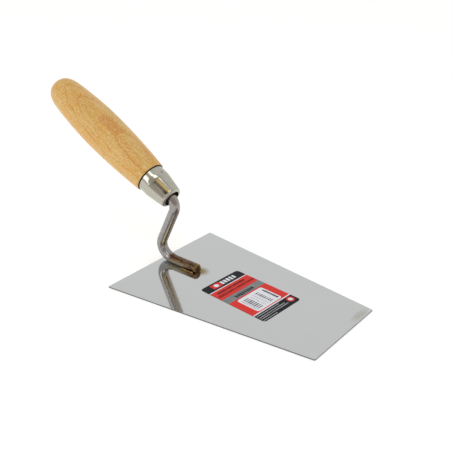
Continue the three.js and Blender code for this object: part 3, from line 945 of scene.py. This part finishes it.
class TROWEL_OT_ferrule(bpy.types.Operator):
    """Make the pressed and crimped ferrule"""

    bl_idname = "trowel.ferrule"
    bl_label = "Ferrule"

    def execute(self, context):
        settings = context.scene.trowel_ferrule
        handle = context.scene.trowel_handle
        local = handle_frame(context)
        rim = handle.butt_station - handle.length - RIM_GAP * MM
        cone = settings.cone_station
        nose = settings.mouth_station + settings.nose_round
        wall = settings.wall
        edge = 0.25 * MM
        outside = [(settings.radius - edge, rim), (settings.radius - 0.07 * MM, rim - 0.07 * MM)]
        outside += [(settings.radius, rim - edge + (cone - rim + edge) * i / 36)
                    for i in range(37)]
        outside += [(settings.radius + (settings.nose_radius - settings.radius) * i / 56,
                     cone + (nose - cone) * i / 56) for i in range(1, 56)]
        outside += quarter_round(settings.nose_radius, nose, settings.nose_round, 8)
        lip = settings.mouth_station + wall
        inside = [(settings.mouth_radius + 0.1 * MM, settings.mouth_station),
                  (settings.mouth_radius, settings.mouth_station + 0.1 * MM),
                  (settings.mouth_radius, lip)]
        inside += quarter_round(settings.nose_radius - wall, nose, settings.nose_round - wall,
                                4)[::-1]
        inside += [(settings.nose_radius + (settings.radius - settings.nose_radius) * i / 56 - wall,
                    nose + (cone - nose) * i / 56) for i in range(1, 57)]
        inside += [(settings.radius - wall, cone + (rim - cone) * i / 36) for i in range(1, 37)]

        def press(radius, station, angle):
            full = settings.radius - max(cone - station, 0) * cone_slope(settings)
            below = wall if radius < full - wall / 2 and station > nose else 0.0
            return pressed(settings, radius, station, angle, below)

        build = turned_mesh(outside + inside, 360, press)
        build.transform(local)
        mesh = to_mesh(build, "ferrule_shell")
        smooth_by_angle(mesh, 40)
        pocket = local @ Matrix.Rotation(-settings.crimp_angle, 4, "Y")
        depth = settings.radius - 0.4 * MM
        stake = local @ Vector((-depth * math.sin(settings.stake_angle), settings.stake_station,
                                depth * math.cos(settings.stake_angle)))
        plating = bright_plating(settings, pocket.translation, pocket.to_euler("XYZ"),
                                 settings.crimp_station / MM, tuple(stake / MM))
        new_piece("ferrule_shell", mesh, [plating], ["ferrule"])
        return {"FINISHED"}


def smoothly(share):
    """0 to 1 with level ends."""
    share = min(max(share, 0), 1)
    return share * share * (3 - 2 * share)


def marks_tree(name, mark):
    """Geometry Nodes that set one mark after another along curves, each with its own size."""
    tree = bpy.data.node_groups.new(name, "GeometryNodeTree")
    add = tree.interface.new_socket
    ids = {}
    add("Lines", in_out="INPUT", socket_type="NodeSocketGeometry")
    for label, kind in (("Pitch", "Float"), ("Smallest", "Vector"), ("Largest", "Vector"),
                        ("Seed", "Int"), ("Material", "Material")):
        ids[label] = add(label, in_out="INPUT", socket_type="NodeSocket" + kind).identifier
    add("Marks", in_out="OUTPUT", socket_type="NodeSocketGeometry")
    given = add_node(tree, "NodeGroupInput")
    points = add_node(tree, "GeometryNodeCurveToPoints", {
        "Curve": given.outputs["Lines"], "Length": given.outputs["Pitch"]}, mode="LENGTH")
    turn = add_node(tree, "FunctionNodeAlignRotationToVector", {
        "Vector": points.outputs["Tangent"]}, axis="X", pivot_axis="Z")
    size = add_node(tree, "FunctionNodeRandomValue", {
        "Min": given.outputs["Smallest"], "Max": given.outputs["Largest"],
        "Seed": given.outputs["Seed"]}, data_type="FLOAT_VECTOR")
    # A line's own radius is how far its marks reach to either side.
    reach = add_node(tree, "GeometryNodeInputRadius")
    spread = add_node(tree, "ShaderNodeCombineXYZ", {0: 1.0, 1: reach.outputs[0], 2: 1.0})
    scale = add_node(tree, "ShaderNodeVectorMath", {0: size.outputs[0], 1: spread.outputs[0]},
                     operation="MULTIPLY")
    shape = add_node(tree, mark[0], mark[1])
    placed = add_node(tree, "GeometryNodeInstanceOnPoints", {
        "Points": points.outputs["Points"], "Instance": shape.outputs[0],
        "Rotation": turn.outputs[0], "Scale": scale.outputs[0]})
    real = add_node(tree, "GeometryNodeRealizeInstances", {"Geometry": placed.outputs[0]})
    done = add_node(tree, "GeometryNodeSetMaterial", {
        "Geometry": real.outputs[0], "Material": given.outputs["Material"]})
    add_node(tree, "NodeGroupOutput", {"Marks": done.outputs[0]})
    return tree, ids


def marks_along(name, lines, tree_and_ids, values):
    """Curve object with one spline per (start, end, reach), carrying the marks modifier."""
    curve = bpy.data.curves.new(name, "CURVE")
    curve.dimensions = "3D"
    for start, end, reach in lines:
        spline = curve.splines.new("POLY")
        spline.points.add(1)
        for point, place in zip(spline.points, (start, end)):
            point.co = (*place, 1)
            point.radius = reach
    holder = bpy.data.objects.new(name, curve)
    bpy.context.scene.collection.objects.link(holder)
    tree, ids = tree_and_ids
    modifier = holder.modifiers.new("marks", "NODES")
    modifier.node_group = tree
    for label, value in values.items():
        modifier[ids[label]] = value
    return holder


class TROWEL_OT_welds(bpy.types.Operator):
    """Make the rippled weld along both sides of the foot"""

    bl_idname = "trowel.welds"
    bl_label = "Welds"

    def execute(self, context):
        neck = context.scene.trowel_neck
        metal = weld_metal()
        tree = marks_tree("weld ripples", ("GeometryNodeMeshIcoSphere", {
            "Radius": 1 * MM, "Subdivisions": 3}))
        # The ripples' middles run beside the foot and inside the ends of the bead.
        beside, above, from_rear, from_front = 0.35 * MM, 0.7 * MM, 1.0 * MM, 0.8 * MM
        for name, side, seed in (("weld_bead_left", 1, 3), ("weld_bead_right", -1, 8)):
            low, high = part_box(name)
            y = side * (neck.foot_width / 2 + beside)
            z = BLADE_HIGH.z + above
            line = (Vector((low.x + from_rear, y, z)), Vector((high.x - from_front, y, z)), 1.0)
            holder = marks_along(name, [line], tree, {
                "Pitch": 0.95 * MM, "Smallest": (0.7, 0.75, 0.7), "Largest": (0.95, 1.15, 1.05),
                "Seed": seed, "Material": metal})
            fused = holder.modifiers.new("fused", "REMESH")
            fused.mode = "VOXEL"
            fused.voxel_size = 0.14 * MM
            mesh = evaluated_copy(holder, name)
            mesh.materials.clear()
            mesh.shade_smooth()
            new_piece(name + "_ripples", mesh, [metal], [name])
        return {"FINISHED"}


class TROWEL_OT_label(bpy.types.Operator):
    """Make the printed label, with plain blocks and dashes for its print"""

    bl_idname = "trowel.label"
    bl_label = "Label"

    def execute(self, context):
        settings = context.scene.trowel_label
        place = (Matrix.Translation((settings.centre[0], settings.centre[1], BLADE_HIGH.z))
                 @ Matrix.Rotation(settings.turn, 4, "Z"))
        film = settings.film
        half = settings.width / 2
        corners = rectangle((0, 0), settings.length, settings.width)
        build = bmesh.new()
        add_prism(build, rounded_corners(corners, settings.corner_radius), 0, film, place)
        new_piece("label_film", to_mesh(build, "label_film"),
                  [printed_film("black label film", "#17191c", "#1f2225")],
                  ["label"])
        red = printed_film("red ink on film", "#e23731", "#d83a34")
        grey = printed_film("grey ink on film", "#7b8284", "#8a9092")
        white = printed_film("white ink on film", "#eceef4", "#e2e5ec")
        bands = (
            ("label_red", red, 1, ((-22.6, -10.0), (-2.75, 21.75))),
            ("label_grey", grey, 1, ((-10.0, -2.75),)),
            ("label_white", white, 1, ((-23.5, -22.6), (21.75, 22.9))))
        for name, ink, layer, spans in bands:
            outlines = [rectangle(((low + high) / 2 * MM, 0), (high - low) * MM, 2 * half)
                        for low, high in spans]
            self.print_shapes(name, ink, layer, outlines, film, place)
        panel = rounded_corners(rectangle((9.75 * MM, 0), 22 * MM, 28.6 * MM), 2.5 * MM)
        self.print_shapes("label_panel", white, 2, [panel], film, place)
        self.print_shapes("label_block", red, 1, [
            rounded_corners(rectangle((-28.5 * MM, -8.2 * MM), 6.3 * MM, 10 * MM), 0.5 * MM),
            disc((27.2 * MM, 16.3 * MM), 3.4 * MM)], film, place)
        self.print_shapes("label_discs", white, 2, [
            disc((-28.5 * MM, -8.2 * MM), 2.2 * MM), disc((27.2 * MM, 16.3 * MM), 1.9 * MM)],
            film, place)
        self.print_lines(film, place, white)
        return {"FINISHED"}

    def print_shapes(self, name, ink, layer, outlines, film, place):
        """One ink layer: flat shapes that reach one ink step above the layer below."""
        build = bmesh.new()
        for outline in outlines:
            add_prism(build, outline, film * 0.9, film + layer * INK_STEP * MM, place)
        new_piece(name, to_mesh(build, name), [ink])

    def print_lines(self, film, place, white):
        """Rows of dashes and bars in the places of small print and bar codes."""
        tree = marks_tree("printed marks", ("GeometryNodeMeshCube", {"Size": (MM, 2 * MM, MM)}))
        dark = printed_film("dark ink on film", "#2b2d31", "#3a3c40")
        # Each row has its name, its ink, the pitch of its marks, their least and greatest
        # length, and its lines, each from (u, v) to (u, v) with its reach to either side. In
        # millimetres on the label, u runs to the front and v to the left.
        rows = (
            ("print_dark_red", printed_film("dark red ink on film", "#571012", "#641416"), 2.1, 1.1,
             1.9, ((-18.9, 13.5, -18.9, -16, 1.3), (-14.6, 20, -14.6, -19, 1.3))),
            ("print_words", dark, 2.5, 1.7, 2.2, ((-5.6, 9, -5.6, -9.5, 2.0),)),
            ("print_heading", dark, 2.0, 1.5, 1.9, ((3.3, 11.9, 17.6, 11.9, 1.0),)),
            ("print_bars", dark, 2.0, 0.7, 1.2,
             ((2.9, 4.75, 17.5, 4.75, 1.75), (2.9, -8, 17.5, -8, 3.0))),
            ("print_small", printed_film("pale grey ink on film", "#8a8d92", "#a0a3a8"), 1.3, 0.7,
             1.1, ((2.8, 0.5, 18, 0.5, 0.4), (2.8, -12.4, 18, -12.4, 0.45))),
            ("print_numbers", dark, 1.7, 0.4, 0.8, ((3.2, -2.5, 17.5, -2.5, 0.5),)),
            ("print_footer", printed_film("silver grey ink on film", "#b9bcc0", "#caccd0"), 1.5,
             0.8, 1.3, ((24.75, 4, 24.75, -20, 0.42), (27.25, 8.5, 27.25, -20, 0.42),
                        (29.25, 10.5, 29.25, -20, 0.42), (31.75, -6, 31.75, -20.5, 0.42))),
            ("print_header", white, 2.9, 1.9, 2.4, ((-28.4, 12, -28.4, -1.5, 2.5),)))
        for seed, (name, ink, pitch, shortest, longest, lines) in enumerate(rows):
            z = film + 2 * INK_STEP * MM
            splines = [(place @ Vector((u0 * MM, v0 * MM, z)), place @ Vector((u1 * MM, v1 * MM, z)),
                        reach) for u0, v0, u1, v1, reach in lines]
            even = 1.0 if name == "print_bars" else 0.75
            holder = marks_along(name, splines, tree, {
                "Pitch": pitch * MM, "Smallest": (shortest, even, 0.03),
                "Largest": (longest, 1.0, 0.03), "Seed": seed, "Material": ink})
            new_piece(name, evaluated_copy(holder, name), [])


def disc(centre, radius, sides=40):
    """Corner points of a round outline."""
    return [Vector((centre[0] + radius * math.cos(2 * math.pi * i / sides),
                    centre[1] + radius * math.sin(2 * math.pi * i / sides)))
            for i in range(sides)]


class TROWEL_OT_stage(bpy.types.Operator):
    """Set the floor, the light and the camera"""

    bl_idname = "trowel.stage"
    bl_label = "Stage"

    def execute(self, context):
        settings = context.scene.trowel_stage
        scene = context.scene
        scene.view_settings.view_transform = "Standard"
        self.floor()
        self.tent(scene, settings)
        self.softbox("front softbox", (-0.25, -0.87, 0.42), 0.3, 0.42, settings.key)
        self.softbox("overhead strip", (0.18, -0.39, 0.9), 0.5, 0.2, settings.key * 0.8)
        self.camera(scene, settings)
        return {"FINISHED"}

    def floor(self):
        build = bmesh.new()
        bmesh.ops.create_grid(build, x_segments=1, y_segments=1, size=6)
        floor = bpy.data.objects.new("floor", to_mesh(build, "floor"))
        floor.location.z = -0.02 * MM
        bpy.context.scene.collection.objects.link(floor)
        material, _, shader = new_material("white table")
        shader.inputs["Base Color"].default_value = (0.95, 0.95, 0.95, 1)
        shader.inputs["Roughness"].default_value = 0.9
        shader.inputs["Emission Color"].default_value = (1, 1, 1, 1)
        shader.inputs["Emission Strength"].default_value = 0.28
        floor.data.materials.append(material)

    def tent(self, scene, settings):
        world = bpy.data.worlds.new("white tent")
        scene.world = world
        world.use_nodes = True
        tree = world.node_tree
        background = tree.nodes["Background"]
        background.inputs["Strength"].default_value = settings.tent
        # The tent's open side, away from the backdrop, is dimmer and a little warm.
        open_side = Vector((math.sin(settings.azimuth), -math.cos(settings.azimuth), 0.25))
        side = add_node(tree, "ShaderNodeVectorMath", {
            0: add_node(tree, "ShaderNodeTexCoord").outputs["Generated"],
            1: open_side.normalized()}, operation="DOT_PRODUCT").outputs["Value"]
        colour = mixed(tree, remapped(tree, side, 0.1, 0.95), (1, 1, 1, 1), (0.6, 0.57, 0.52, 1))
        tree.links.new(colour, background.inputs["Color"])

    def softbox(self, name, towards, width, height, power):
        """A panel light a metre from the handle, wide along X, facing it."""
        data = bpy.data.lights.new(name, "AREA")
        data.shape = "RECTANGLE"
        data.size = width
        data.size_y = height
        data.energy = power
        box = bpy.data.objects.new(name, data)
        bpy.context.scene.collection.objects.link(box)
        forward = Vector(towards).normalized()
        upward = forward.cross(Vector((1, 0, 0))).normalized()
        turn = Matrix((upward.cross(forward), upward, forward)).transposed()
        box.location = Vector((-0.1, 0, 0.07)) + forward
        box.rotation_euler = turn.to_euler()

    def camera(self, scene, settings):
        data = bpy.data.cameras.new("camera")
        data.lens = settings.lens
        data.sensor_width = 36
        camera = bpy.data.objects.new("camera", data)
        scene.collection.objects.link(camera)
        camera.location = settings.place
        camera.rotation_euler = (math.pi / 2 - settings.elevation, 0, settings.azimuth)
        scene.camera = camera


OPERATORS = (
    TROWEL_OT_stage, TROWEL_OT_blade, TROWEL_OT_neck, TROWEL_OT_welds, TROWEL_OT_ferrule,
    TROWEL_OT_handle, TROWEL_OT_label)


class TROWEL_PT_panel(bpy.types.Panel):
    """Lists every step of the trowel"""

    bl_label = "Trowel"
    bl_idname = "TROWEL_PT_panel"
    bl_space_type = "VIEW_3D"
    bl_region_type = "UI"
    bl_category = "Trowel"

    def draw(self, context):
        for operator in OPERATORS:
            self.layout.operator(operator.bl_idname)


def register():
    for name, group in SETTINGS.items():
        bpy.utils.register_class(group)
        setattr(bpy.types.Scene, name, bpy.props.PointerProperty(type=group))
    for operator in OPERATORS:
        bpy.utils.register_class(operator)
    bpy.utils.register_class(TROWEL_PT_panel)


def unregister():
    bpy.utils.unregister_class(TROWEL_PT_panel)
    for operator in reversed(OPERATORS):
        bpy.utils.unregister_class(operator)
    for name, group in SETTINGS.items():
        delattr(bpy.types.Scene, name)
        bpy.utils.unregister_class(group)


def main():
    register()
    bpy.ops.trowel.stage()
    bpy.ops.trowel.blade()
    bpy.ops.trowel.neck()
    bpy.ops.trowel.welds()
    bpy.ops.trowel.ferrule()
    bpy.ops.trowel.handle()
    bpy.ops.trowel.label()


if __name__ == "__main__":
    main()
